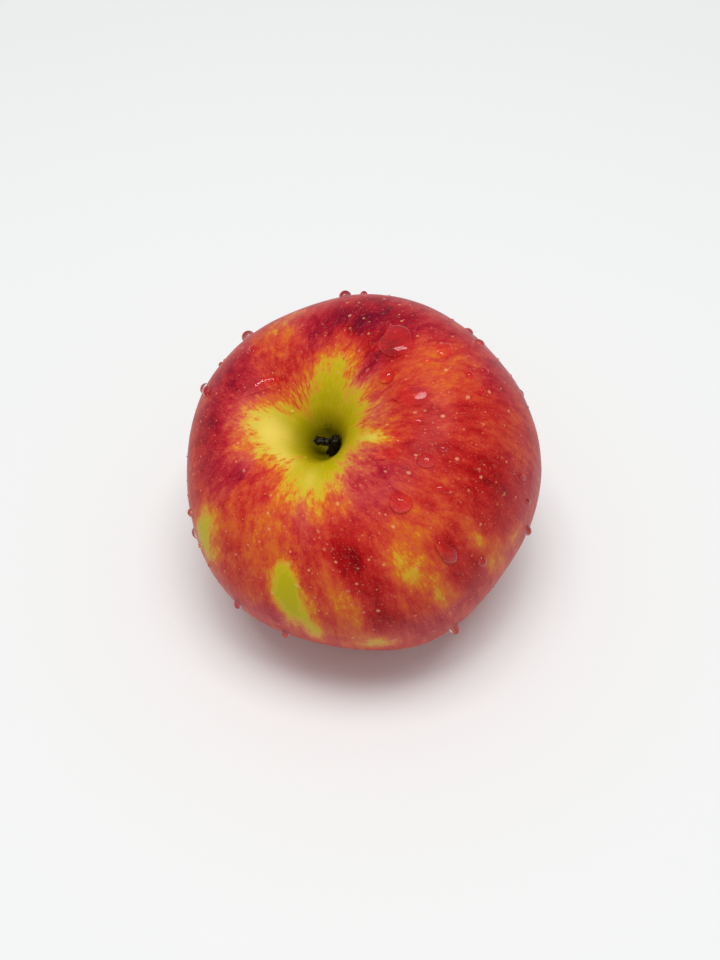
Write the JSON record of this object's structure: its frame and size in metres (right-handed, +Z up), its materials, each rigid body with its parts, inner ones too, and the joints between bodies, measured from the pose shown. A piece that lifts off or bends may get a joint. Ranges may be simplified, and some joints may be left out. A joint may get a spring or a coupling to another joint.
{
  "type": "apple",
  "caption": "Ripe red eating apple with a deep stem cavity, a snapped dark stem stub and a dry calyx underneath; it stands on the lobes of its base.",
  "frame": {"origin": "bottom centre of the whole apple's box, on the ground it rests on", "axes": "+Z up from the ground through the fruit; +X to the right and +Y away for someone who looks down into the stem cavity, which leans towards -X and -Y"},
  "size_m": [0.0814, 0.0796, 0.0735],
  "materials": {
    "skin": "waxy satin",
    "stem": "wet and dark",
    "dry_calyx": "dry and matt"
  },
  "bodies": {
    "root": {"fruit": "skin", "stem": "stem", "sepal_1": "dry_calyx", "sepal_2": "dry_calyx", "sepal_3": "dry_calyx", "sepal_4": "dry_calyx", "sepal_5": "dry_calyx", "stamen_tuft": "dry_calyx"}
  },
  "joints": []
}
